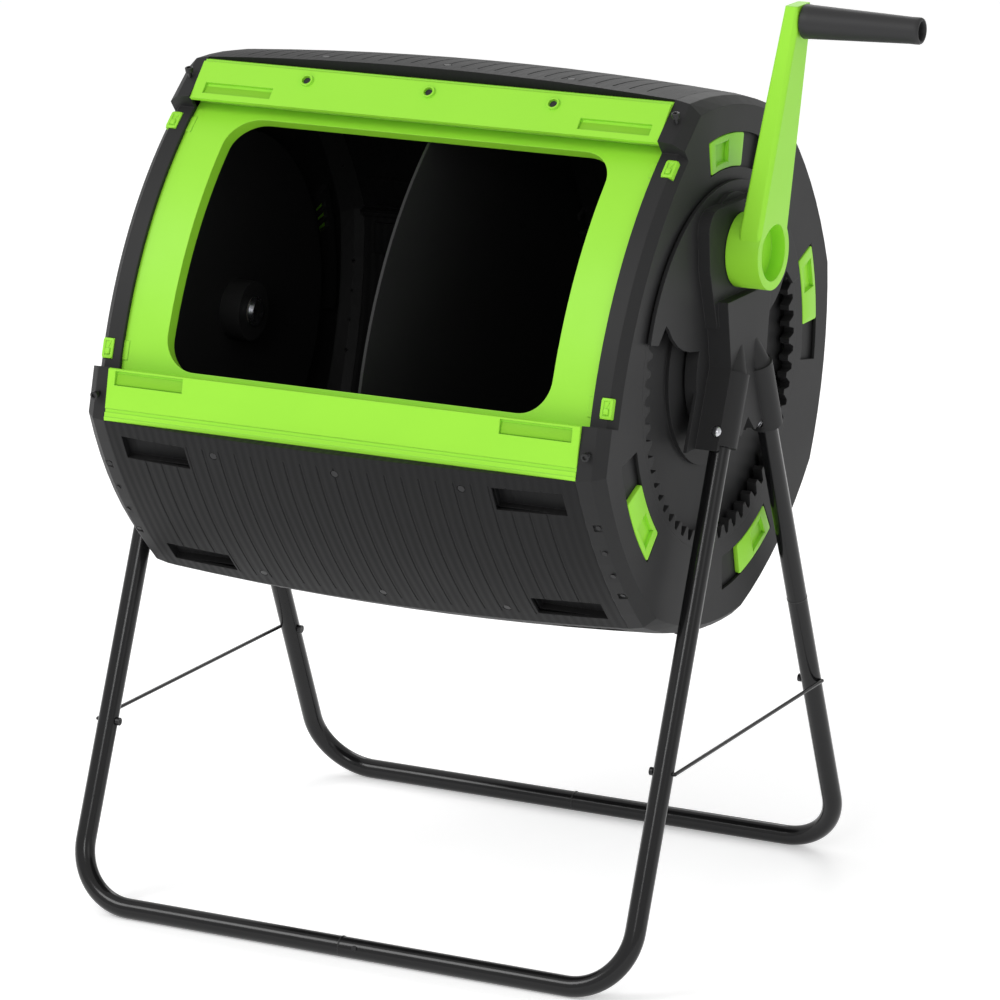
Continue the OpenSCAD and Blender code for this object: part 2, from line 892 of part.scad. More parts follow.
// A rounded rectangle looking out through the door, grown by g
module opening_outline(g) {
    w = opening_w / 2 + g - opening_corner_r;
    h = opening_h / 2 + g - opening_corner_r;
    square([2 * w, 2 * (h + opening_corner_r)], center = true);
    square([2 * (w + opening_corner_r), 2 * h], center = true);
    for (s = [-1, 1], t = [-1, 1]) translate([s * w, t * h]) circle(r = opening_corner_r);
}

module opening_prism(g) {
    at_axis() rotate([90 - door_dir, 0, 0]) translate([0, 0, door_mid_r - 80])
        linear_extrude(height = 160) opening_outline(g);
}

frame_half = door_half_arc + 1.6;
module door_frame() {
    color(green) {
        difference() {
            union() {
                door_block(-rim_x, rim_x, door_arc_r - panel_wall, door_arc_r,
                    door_dir - frame_half, door_dir + frame_half);
                intersection() {
                    door_block(-rim_x, rim_x, door_arc_r - opening_rim, door_arc_r,
                        door_dir - frame_half, door_dir + frame_half);
                    opening_prism(panel_wall);
                }
                for (m = [0, 1], a = clip_spots) mirror([m, 0, 0]) {
                    door_block(rim_x - 8, clip_x1, door_arc_r - 4, door_arc_r + 0.9,
                        a - clip_arc + 0.1, a + clip_arc - 0.1);
                    door_block(clip_x0 + 0.5, clip_x1 - 0.5, door_arc_r, door_arc_r + rim_proud,
                        a - clip_arc + 0.05, a + clip_arc - 0.05);
                }
            }
            opening_prism(0);
        }
    }
}

frame_top = spot(door_centre, door_dir) + spot(door_arc_r - panel_wall, door_dir + frame_half);
frame_low = spot(door_centre, door_dir) + spot(door_arc_r - panel_wall, door_dir - frame_half);

function rail_pockets(upper) = upper ? [-283, 283] : [-288, 288];
rail_pocket_l = 104;
rail_pocket_w = 17;

// Where the door frame's edges lie, under the rails
module frame_room() {
    door_block(-rim_x - 1, rim_x + 1, door_arc_r - panel_wall, door_arc_r,
        door_dir - frame_half, door_dir + frame_half);
}

module upper_rail_section() {
    strip(upper_lip, upper_knee, rail_wall);
    strip(upper_knee - [1, 1], upper_end, rail_wall);
    strip(upper_lip + [3, -3], upper_lip + [0.3, 0.3], rail_wall);
    strip(upper_end - [2, 1], frame_top + [1, -2], rail_wall);
}

module lower_rail_section() {
    strip(lower_knee, lower_lip, rail_wall);
    strip(lower_end + [2, -0.5], lower_knee + [0.2, -0.4], rail_wall);
    strip(lower_lip, lower_lip + [4, 0.4], rail_wall);
    strip(frame_low + [1, 1], lower_end + [2, 1], rail_wall);
}

module at_upper_face(x, t) {
    p = upper_lip + (upper_knee - upper_lip) * t;
    a = atan2(upper_knee[1] - upper_lip[1], upper_knee[0] - upper_lip[0]);
    at_axis() translate([x, p[0], p[1]]) rotate([a, 0, 0]) children();
}

module at_lower_face(x, t) {
    p = lower_lip + (lower_knee - lower_lip) * t;
    a = atan2(lower_lip[1] - lower_knee[1], lower_lip[0] - lower_knee[0]);
    at_axis() translate([x, p[0], p[1]]) rotate([a, 0, 0]) children();
}

module rail_pocket(l, w) {
    translate([-l / 2, -w / 2, -rail_wall + 1.5]) cube([l, w, 20]);
}

collar_r = 9;
collar_proud = 3;
rail_screw_t = 0.72;

module upper_rail() {
    color(green) difference() {
        union() {
            at_axis() across(-rim_x, rim_x) upper_rail_section();
            for (x = screw_xs) at_upper_face(x, rail_screw_t) translate([0, 0, -rail_wall])
                cylinder(h = rail_wall + collar_proud, r = collar_r);
        }
        frame_room();
        panel_slice(first_corner + 22.5);
        for (x = rail_pockets(true)) at_upper_face(x, 0.3) rail_pocket(rail_pocket_l, rail_pocket_w);
        for (x = screw_xs) at_upper_face(x, rail_screw_t) {
            translate([0, 0, -1.5]) cylinder(h = 10, r = 6.4);
            translate([0, 0, -10]) cylinder(h = 20, r = 2.5);
        }
    }
}

module lower_rail() {
    color(green) difference() {
        at_axis() across(-rim_x, rim_x) lower_rail_section();
        frame_room();
        panel_slice(first_corner - 112.5);
        for (x = rail_pockets(false)) at_lower_face(x, 0.17)
            rail_pocket(rail_pocket_l, rail_pocket_w + 2);
        at_lower_face(0, 0.8) translate([-rim_x - 1, -2.5, -1.4]) cube([2 * rim_x + 2, 5, 5]);
    }
}

module rail_screws() {
    color(black) for (x = screw_xs) at_upper_face(x, rail_screw_t) {
        translate([0, 0, -9]) cylinder(h = 8, r = 2.5);
        translate([0, 0, -1.5]) cylinder(h = 1.4, r = 5);
    }
}

// The plate between the two chambers
module divider() {
    inner = crown - panel_wall - 0.2;
    color(dark) difference() {
        union() {
            at_axis() across(-divider_t / 2, divider_t / 2)
                polygon(drum_outline(side_r + inner, corner_r + inner));
            for (k = [0 : 5], s = [-1, 1]) at_panel_screws(first_corner + 22.5 + 45 * k, s, [0])
                translate([0, 0, -24]) cylinder(h = 24 - panel_wall - 0.2, r = 5.5);
        }
        for (k = [0 : 5], s = [-1, 1]) {
            at_panel_screws(first_corner + 22.5 + 45 * k, s, [0])
                translate([0, 0, -12]) cylinder(h = 20, r = 2.5);
            edge_strip(first_corner + 22.5 + 45 * k, s);
        }
        at_axis() across(-divider_t, divider_t)
            polygon(concat(door_arc(door_arc_r - opening_rim - 1, 24),
                [spot(far / 3, door_dir + 58), spot(far / 3, door_dir - 58)]));
    }
}

// Vent sliders ------------------------------------------------------------

slider_gap = 0.6;
module vent_slider(i) {
    a0 = vent_starts[i] + 0.5;
    a1 = a0 + slider_span;
    x0 = cap_x - slot_depth - track_depth + 0.4;
    at_axis() difference() {
        union() {
            sector(cap_x - slot_depth - 0.4, cap_x - slot_depth + slider_t,
                vent_r0 + slider_gap, vent_r1 - slider_gap, a0, a1);
            sector(x0, cap_x - slot_depth - 0.4 + eps,
                vent_r0 - vent_lip + slider_gap, vent_r1 + vent_lip - slider_gap, a0, a1);
        }
        sector(cap_x - 4.8, cap_x + 5, vent_r0 + 9, vent_r1 - 9, a0 + 3.5, a0 + 10);
    }
}

module right_vent_slider(i) {
    color(green) vent_slider(i);
}

module left_vent_slider(i) {
    color(green) mirrored_x() vent_slider(i);
}

// Crank -------------------------------------------------------------------

pinion_x0 = cap_x - gear_w + 1;
pinion_x1 = cap_x;

module pinion() {
    color(nylon) at_crank() difference() {
        across(pinion_x0, pinion_x1)
            polygon(gear_outline(pinion_teeth, pinion_pitch_r, pinion_root_r, pinion_tip_r,
                backlash / 2));
        rod(pinion_x0 - 1, pinion_x1 + 1, shaft_d / 2);
    }
}

shaft_in = 12;
module crank_shaft() {
    color(steel) at_crank() difference() {
        rod(pinion_x0 - 3, hub_x0 + shaft_in + 10, shaft_d / 2);
        translate([hub_x0 + shaft_in, 0, -far / 2]) cylinder(h = far, r = 3);
    }
}

module crank_pin() {
    color(steel) at_crank() translate([hub_x0 + shaft_in, 0, -crank_hub_r + 8])
        cylinder(h = 2 * crank_hub_r - 16, r = 3);
}

module arm_post(x, y, z, h) {
    translate([x, y, z]) cylinder(h = h, r = 4, $fn = 32);
}

module crank_arm() {
    low_y = 41;
    top_y = 18;
    top_x1 = hub_x1 + crank_lean;
    color(green) difference() {
        union() {
            at_crank() rod(hub_x0, hub_x1, crank_hub_r);
            hull() for (s = [-1, 1]) {
                arm_post(hub_x1 - 4, s * low_y, crank_z + 20, 14);
                arm_post(hub_x1 - arm_t_low + 4, s * low_y, crank_z + 20, 14);
                arm_post(top_x1 - 4, s * top_y, arm_top_z - 30, 30);
                arm_post(top_x1 - arm_t_top + 4, s * top_y, arm_top_z - 30, 30);
            }
        }
        at_crank() rod(hub_x1 - cup_depth, hub_x1 + 60, cup_r);
        at_crank() rod(hub_x0 - 1, hub_x0 + shaft_in + 10, shaft_d / 2);
        at_crank() translate([hub_x0 + shaft_in, 0, -crank_hub_r + 8])
            cylinder(h = 2 * crank_hub_r - 16, r = 3);
        translate([0, 0, grip_z]) rod(top_x1 - arm_t_top - 20, top_x1 + 20, grip_pin_d / 2);
    }
}

pin_head_x = grip_x1 - 26;
module grip_pin() {
    top_x1 = hub_x1 + crank_lean;
    color(steel) translate([0, 0, grip_z]) {
        rod(top_x1 - arm_t_top, pin_head_x, grip_pin_d / 2);
        rod(pin_head_x, pin_head_x + 5, grip_pin_d / 2 + 3);
    }
}

module grip() {
    color(dark) translate([0, 0, grip_z]) difference() {
        translate([grip_x0, 0, 0]) rotate([0, 90, 0])
            cylinder(h = grip_len, r1 = grip_d_in / 2, r2 = grip_d_out / 2, $fn = 96);
        rod(grip_x0 - 1, grip_x1 + 1, grip_pin_d / 2 + run_gap);
        rod(pin_head_x - 0.5, grip_x1 + 1, grip_d_out / 2 - 5);
    }
}

front_left_leg();
front_right_leg();
rear_left_foot();
rear_right_foot();
rear_left_leg();
rear_right_leg();
tube_buttons();
left_brace_rod();
right_brace_rod();
rod_caps();
left_bracket();
right_bracket();
socket_bolts();
socket_nuts();
left_axle();
right_axle();
axle_clips();
crank_bush();
left_end_cap();
right_end_cap();
ring_gear();
left_hub_bush();
right_hub_bush();
top_panel();
rear_top_panel();
rear_panel();
rear_low_panel();
bottom_panel();
front_low_panel();
door_frame();
upper_rail();
lower_rail();
divider();
rail_screws();
panel_screws();
left_rim_screws();
right_rim_screws();
corner_screws();
pinion();
crank_shaft();
crank_arm();
crank_pin();
grip_pin();
grip();
left_vent_slider(0);  // left_vent_slider_1
left_vent_slider(1);  // left_vent_slider_2
left_vent_slider(2);  // left_vent_slider_3
left_vent_slider(3);  // left_vent_slider_4
right_vent_slider(0);  // right_vent_slider_1
right_vent_slider(1);  // right_vent_slider_2
right_vent_slider(2);  // right_vent_slider_3
right_vent_slider(3);  // right_vent_slider_4
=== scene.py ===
"""Compost tumbler: looks built around its frame, in metres; +X to the crank side, +Z up."""

import json
import math

import bmesh
import bpy
from mathutils import Matrix, Vector


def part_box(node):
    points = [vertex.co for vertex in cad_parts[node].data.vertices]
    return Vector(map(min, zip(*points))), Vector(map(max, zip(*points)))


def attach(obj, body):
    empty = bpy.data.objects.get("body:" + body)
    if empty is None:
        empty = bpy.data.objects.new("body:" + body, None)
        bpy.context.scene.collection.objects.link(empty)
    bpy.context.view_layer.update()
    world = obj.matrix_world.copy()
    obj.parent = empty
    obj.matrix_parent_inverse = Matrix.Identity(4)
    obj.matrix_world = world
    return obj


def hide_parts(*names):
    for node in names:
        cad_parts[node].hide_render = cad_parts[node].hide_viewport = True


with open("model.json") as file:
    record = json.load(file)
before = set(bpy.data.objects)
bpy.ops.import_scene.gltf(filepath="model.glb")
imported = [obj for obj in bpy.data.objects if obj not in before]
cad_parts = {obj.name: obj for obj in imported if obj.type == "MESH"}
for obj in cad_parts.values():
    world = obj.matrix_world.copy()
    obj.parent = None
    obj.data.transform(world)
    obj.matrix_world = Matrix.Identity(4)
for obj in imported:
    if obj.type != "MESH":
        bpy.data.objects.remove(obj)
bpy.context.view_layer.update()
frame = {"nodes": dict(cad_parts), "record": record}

# Places that the pieces share
DRUM_AXIS = Vector((0.0, 0.0, 0.783))
RIM_X = 0.351
CAP_X = 0.386
DOOR_DIRECTION = 33.0
DOOR_ARC_R = 0.600
DOOR_MID_R = 0.291
CORNER_R = 0.377
FIRST_CORNER = 78.0
ALONG = Vector((1.0, 0.0, 0.0))
STAND_HALF_DEPTH = 0.354
STAND_HALF_WIDTH = 0.420
TUBE_R = 0.014
LEG_APEX_Z = 0.873
LEG_SEAM_Z = 0.4205


def out(angle):
    """A direction across the drum; angles rise from the front (-Y) towards the top."""
    a = math.radians(angle)
    return Vector((0.0, -math.cos(a), math.sin(a)))


DOOR_CENTRE = DRUM_AXIS + out(DOOR_DIRECTION) * (DOOR_MID_R - DOOR_ARC_R)


# --- Materials ---------------------------------------------------------------


def add(nodes, kind, **settings):
    """A new shader node with its settings."""
    node = nodes.new(kind)
    for key, value in settings.items():
        setattr(node, key, value)
    return node


def new_group(name, inputs, outputs):
    """An empty node group with named sockets; inputs are (name, kind, default)."""
    group = bpy.data.node_groups.new(name, "ShaderNodeTree")
    for label, kind, default in inputs:
        socket = group.interface.new_socket(label, in_out="INPUT", socket_type=kind)
        if default is not None:
            socket.default_value = default
    for label, kind in outputs:
        group.interface.new_socket(label, in_out="OUTPUT", socket_type=kind)
    return group, group.nodes.new("NodeGroupInput"), group.nodes.new("NodeGroupOutput")


def make_grain_group():
    """Fine moulded or coated grain: a height for bump and a slow mottle."""
    group, given, result = new_group(
        "surface_grain",
        [
            ("Vector", "NodeSocketVector", None),
            ("Grain Scale", "NodeSocketFloat", 1400.0),
            ("Mottle Scale", "NodeSocketFloat", 9.0),
        ],
        [("Height", "NodeSocketFloat"), ("Mottle", "NodeSocketFloat")],
    )
    fine = add(group.nodes, "ShaderNodeTexNoise")
    fine.inputs["Detail"].default_value = 3.0
    slow = add(group.nodes, "ShaderNodeTexNoise")
    slow.inputs["Detail"].default_value = 4.0
    link = group.links.new
    link(given.outputs["Vector"], fine.inputs["Vector"])
    link(given.outputs["Grain Scale"], fine.inputs["Scale"])
    link(given.outputs["Vector"], slow.inputs["Vector"])
    link(given.outputs["Mottle Scale"], slow.inputs["Scale"])
    link(fine.outputs["Fac"], result.inputs["Height"])
    link(slow.outputs["Fac"], result.inputs["Mottle"])
    return group


def make_edge_group():
    """Softened edges: a rounded normal, and a mask that is bright along worn edges."""
    group, given, result = new_group(
        "edge_wear",
        [
            ("Vector", "NodeSocketVector", None),
            ("Radius", "NodeSocketFloat", 0.0012),
            ("Amount", "NodeSocketFloat", 3.0),
        ],
        [("Normal", "NodeSocketVector"), ("Wear", "NodeSocketFloat")],
    )
    nodes, link = group.nodes, group.links.new
    rounded = add(nodes, "ShaderNodeBevel", samples=4)
    flat = add(nodes, "ShaderNodeNewGeometry")
    match = add(nodes, "ShaderNodeVectorMath", operation="DOT_PRODUCT")
    differ = add(nodes, "ShaderNodeMath", operation="SUBTRACT")
    differ.inputs[0].default_value = 1.0
    scale = add(nodes, "ShaderNodeMath", operation="MULTIPLY")
    patchy = add(nodes, "ShaderNodeTexNoise")
    patchy.inputs["Scale"].default_value = 60.0
    patchy.inputs["Detail"].default_value = 5.0
    broken = add(nodes, "ShaderNodeMath", operation="MULTIPLY", use_clamp=True)
    link(given.outputs["Radius"], rounded.inputs["Radius"])
    link(rounded.outputs["Normal"], match.inputs[0])
    link(flat.outputs["Normal"], match.inputs[1])
    link(match.outputs["Value"], differ.inputs[1])
    link(differ.outputs["Value"], scale.inputs[0])
    link(given.outputs["Amount"], scale.inputs[1])
    link(given.outputs["Vector"], patchy.inputs["Vector"])
    link(scale.outputs["Value"], broken.inputs[0])
    link(patchy.outputs["Fac"], broken.inputs[1])
    link(rounded.outputs["Normal"], result.inputs["Normal"])
    link(broken.outputs["Value"], result.inputs["Wear"])
    return group


def make_dust_group():
    """A thin film of dust on what faces up."""
    group, given, result = new_group(
        "dust_film",
        [("Vector", "NodeSocketVector", None), ("Amount", "NodeSocketFloat", 0.2)],
        [("Mask", "NodeSocketFloat")],
    )
    nodes, link = group.nodes, group.links.new
    facing = add(nodes, "ShaderNodeNewGeometry")
    up = add(nodes, "ShaderNodeSeparateXYZ")
    rise = add(nodes, "ShaderNodeMath", operation="MAXIMUM")
    rise.inputs[1].default_value = 0.0
    cloud = add(nodes, "ShaderNodeTexNoise")
    cloud.inputs["Scale"].default_value = 14.0
    cloud.inputs["Detail"].default_value = 6.0
    blend = add(nodes, "ShaderNodeMath", operation="MULTIPLY")
    amount = add(nodes, "ShaderNodeMath", operation="MULTIPLY", use_clamp=True)
    link(facing.outputs["Normal"], up.inputs["Vector"])
    link(up.outputs["Z"], rise.inputs[0])
    link(given.outputs["Vector"], cloud.inputs["Vector"])
    link(rise.outputs["Value"], blend.inputs[0])
    link(cloud.outputs["Fac"], blend.inputs[1])
    link(blend.outputs["Value"], amount.inputs[0])
    link(given.outputs["Amount"], amount.inputs[1])
    link(amount.outputs["Value"], result.inputs["Mask"])
    return group


DUST_COLOUR = (0.42, 0.38, 0.32)
# How far the mottle takes the roughness down and up
SMOOTHER, ROUGHER = 0.06, 0.08
GRAIN = make_grain_group()
EDGES = make_edge_group()
DUST = make_dust_group()


def place_group(nodes, group, **values):
    """A node group in a material, with its own values; an underscore stands for a space."""
    node = nodes.new("ShaderNodeGroup")
    node.node_tree = group
    for name, value in values.items():
        node.inputs[name.replace("_", " ")].default_value = value
    return node


def mix_colour(nodes, link, mask, first, second):
    """Mixes two colours by a mask; a colour is a socket or a plain value."""
    node = add(nodes, "ShaderNodeMix", data_type="RGBA")
    link(mask, node.inputs["Factor"])
    for socket, colour in ((node.inputs["A"], first), (node.inputs["B"], second)):
        if isinstance(colour, tuple):
            socket.default_value = (*colour, 1.0)
        else:
            link(colour, socket)
    return node.outputs["Result"]


def finish_material(
    name, colour, variation, worn, roughness, metallic=0.0, grain=1400.0,
    bump=0.00006, edge=0.0012, wear=3.0, dust=0.05, specular=0.5, ribs=None,
):
    """A finish with grain, mottled colour, softened worn edges and a little dust."""
    material = bpy.data.materials.new(name)
    material.use_nodes = True
    nodes, link = material.node_tree.nodes, material.node_tree.links.new
    shader = nodes["Principled BSDF"]
    shader.inputs["Metallic"].default_value = metallic
    shader.inputs["Specular IOR Level"].default_value = specular
    where = add(nodes, "ShaderNodeTexCoord").outputs["Object"]
    grain_node = place_group(nodes, GRAIN, Grain_Scale=grain)
    edge_node = place_group(nodes, EDGES, Radius=edge, Amount=wear)
    dust_node = place_group(nodes, DUST, Amount=dust)
    for node in (grain_node, edge_node, dust_node):
        link(where, node.inputs["Vector"])
    body = mix_colour(nodes, link, grain_node.outputs["Mottle"], colour, variation)
    edged = mix_colour(nodes, link, edge_node.outputs["Wear"], body, worn)
    dusted = mix_colour(nodes, link, dust_node.outputs["Mask"], edged, DUST_COLOUR)
    link(dusted, shader.inputs["Base Color"])
    rough = add(nodes, "ShaderNodeMapRange")
    rough.inputs["To Min"].default_value = roughness - SMOOTHER
    rough.inputs["To Max"].default_value = roughness + ROUGHER
    link(grain_node.outputs["Mottle"], rough.inputs["Value"])
    link(rough.outputs["Result"], shader.inputs["Roughness"])
    height = add(nodes, "ShaderNodeBump")
    height.inputs["Distance"].default_value = bump
    link(grain_node.outputs["Height"], height.inputs["Height"])
    link(edge_node.outputs["Normal"], height.inputs["Normal"])
    last = height
    if ribs:
        last = add_ribs(nodes, link, where, height, **ribs)
    link(last.outputs["Normal"], shader.inputs["Normal"])
    return material


def add_ribs(nodes, link, where, before, spacing, depth, wobble):
    """Shallow moulded ribs round the drum: bands along X that waver a little."""
    split = add(nodes, "ShaderNodeSeparateXYZ")
    link(where, split.inputs["Vector"])
    drift = add(nodes, "ShaderNodeTexNoise")
    drift.inputs["Scale"].default_value = 5.0
    drift.inputs["Detail"].default_value = 1.0
    link(where, drift.inputs["Vector"])
    shift = add(nodes, "ShaderNodeMath", operation="MULTIPLY")
    shift.inputs[1].default_value = wobble
    link(drift.outputs["Fac"], shift.inputs[0])
    moved = add(nodes, "ShaderNodeMath", operation="ADD")
    link(split.outputs["X"], moved.inputs[0])
    link(shift.outputs["Value"], moved.inputs[1])
    phase = add(nodes, "ShaderNodeMath", operation="MULTIPLY")
    phase.inputs[1].default_value = 2 * math.pi / spacing
    link(moved.outputs["Value"], phase.inputs[0])
    wave = add(nodes, "ShaderNodeMath", operation="SINE")
    link(phase.outputs["Value"], wave.inputs[0])
    bump = add(nodes, "ShaderNodeBump")
    bump.inputs["Distance"].default_value = depth
    link(wave.outputs["Value"], bump.inputs["Height"])
    link(before.outputs["Normal"], bump.inputs["Normal"])
    return bump


GREEN = finish_material(
    "green_plastic", (0.315, 0.735, 0.038), (0.285, 0.690, 0.032), (0.46, 0.82, 0.14), 0.42,
    edge=0.0018, wear=1.2, dust=0.02, bump=0.00003, specular=0.3,
)
# A darker, duller copy of the green plastic: painted shade for the floors of the rail recesses.
RECESS_SHADE_GREEN = finish_material(
    "green_plastic_painted_recess_shade", (0.225, 0.530, 0.022), (0.205, 0.500, 0.020), (0.36, 0.68, 0.08), 0.50,
    edge=0.0008, wear=0.6, dust=0.02, bump=0.00003, specular=0.2,
)
DARK = finish_material(
    "dark_plastic", (0.0160, 0.0160, 0.0165), (0.0205, 0.0205, 0.0210), (0.060, 0.060, 0.060), 0.52,
    edge=0.0016, wear=1.5, dust=0.010, grain=1100.0, bump=0.00008, specular=0.20,
)
RIBBED = finish_material(
    "ribbed_dark_plastic", (0.0085, 0.0085, 0.0090), (0.0120, 0.0120, 0.0125), (0.055, 0.055, 0.055), 0.50,
    edge=0.0012, wear=1.5, dust=0.010, grain=1100.0, bump=0.00008, specular=0.13,
    ribs={"spacing": 0.0125, "depth": 0.00018, "wobble": 0.010},
)
TUBE = finish_material(
    "black_powder_coat", (0.0055, 0.0055, 0.006), (0.008, 0.008, 0.0085), (0.04, 0.04, 0.04), 0.17,
    edge=0.0006, wear=1.0, dust=0.01, grain=700.0, bump=0.00003, specular=0.32,
)
GRIP = finish_material(
    "grip_plastic", (0.018, 0.018, 0.019), (0.023, 0.023, 0.024), (0.07, 0.07, 0.07), 0.50,
    edge=0.0015, wear=1.0, dust=0.02, grain=900.0, bump=0.00010, specular=0.35,
)
SCREW = finish_material(
    "black_oxide_screw", (0.020, 0.020, 0.021), (0.030, 0.030, 0.031), (0.16, 0.15, 0.14), 0.34,
    metallic=0.6, edge=0.0004, wear=2.0, dust=0.02, grain=2200.0, bump=0.00002,
)
ZINC = finish_material(
    "zinc_plate", (0.62, 0.62, 0.64), (0.52, 0.53, 0.56), (0.78, 0.78, 0.78), 0.26,
    metallic=1.0, edge=0.0005, wear=1.5, dust=0.02, grain=2600.0, bump=0.00002,
)
NYLON = finish_material(
    "nylon", (0.62, 0.60, 0.53), (0.55, 0.53, 0.46), (0.75, 0.73, 0.66), 0.40,
    edge=0.0005, wear=1.0,
)

SLOT_MATERIALS = {
    "green_plastic": GREEN,
    "dark_plastic": DARK,
    "black_tube": TUBE,
    "black_screw": SCREW,
    "zinc_steel": ZINC,
    "bush_plastic": NYLON,
}
PANELS = (
    "top_panel", "rear_top_panel", "rear_panel", "rear_low_panel", "bottom_panel", "front_low_panel",
)

slot_of = {part["node"]: part["material_slot"] for part in frame["record"]["subparts"]}
for name, node in frame["nodes"].items():
    look = RIBBED if name in PANELS else SLOT_MATERIALS[slot_of[name]]
    for place in node.material_slots:
        place.material = look


# --- Pieces --------------------------------------------------------------------


def new_piece(name, form, material, body, crease=30.0):
    """An object from a finished bmesh, riding on a body; corners above the crease stay sharp."""
    bmesh.ops.recalc_face_normals(form, faces=form.faces)
    mesh = bpy.data.meshes.new(name)
    form.to_mesh(mesh)
    form.free()
    mesh.materials.append(material)
    for face in mesh.polygons:
        face.use_smooth = True
    mesh.set_sharp_from_angle(angle=math.radians(crease))
    piece = bpy.data.objects.new(name, mesh)
    bpy.context.scene.collection.objects.link(piece)
    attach(piece, body)
    return piece


def soften(form, edges, width, segments):
    """Rounds edges off by a width."""
    bmesh.ops.bevel(
        form, geom=edges, offset=width, offset_type="OFFSET", segments=segments,
        profile=0.5, affect="EDGES", material=-1, clamp_overlap=True,
    )


def only(kind, items):
    """The vertices, or the faces, among what an operator gave back."""
    return [item for item in items if isinstance(item, kind)]


def basis(x_dir, y_dir, z_dir, place):
    """A local frame with these three directions, at a place."""
    turn = Matrix((x_dir, y_dir, z_dir)).transposed().to_4x4()
    turn.translation = place
    return turn


def add_lathe(form, centre, profile, steps):
    """Spins a closed (x, radius) profile about an axis along X through the centre."""
    points = [form.verts.new(Vector(centre) + Vector((x, 0.0, r))) for x, r in profile]
    edges = [form.edges.new(pair) for pair in zip(points, points[1:] + points[:1])]
    bmesh.ops.spin(
        form, geom=points + edges, cent=centre, axis=ALONG, angle=2 * math.pi,
        steps=steps, use_merge=True, use_duplicate=False,
    )


def add_plate(form, place, size, corner, edge, recess=None):
    """A rounded plate in a local frame, with an optional sunk panel (border, slope, depth)."""
    made = bmesh.ops.create_cube(form, size=1.0, matrix=Matrix.Diagonal((*size, 1.0)))["verts"]
    before = set(form.verts) - set(made)

    def mine():
        return [v for v in form.verts if v not in before]

    def top_face():
        faces = (f for v in mine() for f in v.link_faces)
        return max(faces, key=lambda f: (round(f.calc_center_median().z, 6), f.calc_area()))

    touching = dict.fromkeys(e for v in made for e in v.link_edges)
    uprights = [e for e in touching if abs(e.verts[0].co.z - e.verts[1].co.z) > size[2] / 2]
    soften(form, uprights, corner, 4)
    soften(form, list(top_face().edges), edge, 2)
    if recess:
        border, slope, depth = recess
        panel = [top_face()]
        bmesh.ops.inset_region(form, faces=panel, thickness=border)
        bmesh.ops.inset_region(form, faces=panel, thickness=slope, depth=-depth)
    bmesh.ops.transform(form, matrix=place, verts=mine())


def make_grip():
    """The turning grip: a taper with a rounded root, a rounded lip and a hollow end."""
    low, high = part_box("grip")
    centre = (0.0, (low.y + high.y) / 2, (low.z + high.z) / 2)
    root = [
        (0.0, 0.0075), (0.0, 0.0205), (0.0007, 0.0220), (0.0022, 0.0229), (0.012, 0.0223),
        (0.060, 0.0206), (0.110, 0.0189), (0.150, 0.0175), (0.158, 0.0177), (0.162, 0.0176),
    ]
    end = [
        (-0.0008, 0.0166), (0.0, 0.0152), (0.0, 0.0136), (-0.0012, 0.0126),
        (-0.006, 0.0122), (-0.0265, 0.0118), (-0.0265, 0.0075),
    ]
    profile = [(low.x + x, r) for x, r in root] + [(high.x + x, r) for x, r in end]
    form = bmesh.new()
    add_lathe(form, centre, profile, 64)
    piece = new_piece("grip_sleeve", form, GRIP, "grip_sleeve", crease=50.0)
    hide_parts("grip")


SLIDER_STARTS = (81.5, 159.5, 237.5, 316.5)
SLIDER_SPAN = 20.0
SLIDER_RADII = (0.2672, 0.3118)
SLIDER_BACK, SLIDER_FACE = -0.0060, 0.0006
SLIDER_STEPS = 10
SLIDER_CORNER, SLIDER_RIM = 0.0035, 0.0010
CATCH_FROM, CATCH_TO = 2.0, 12.0
CATCH_BORDER, CATCH_WALL, CATCH_DEPTH = 0.0075, 0.0005, 0.0054
END_MARGIN = 0.5


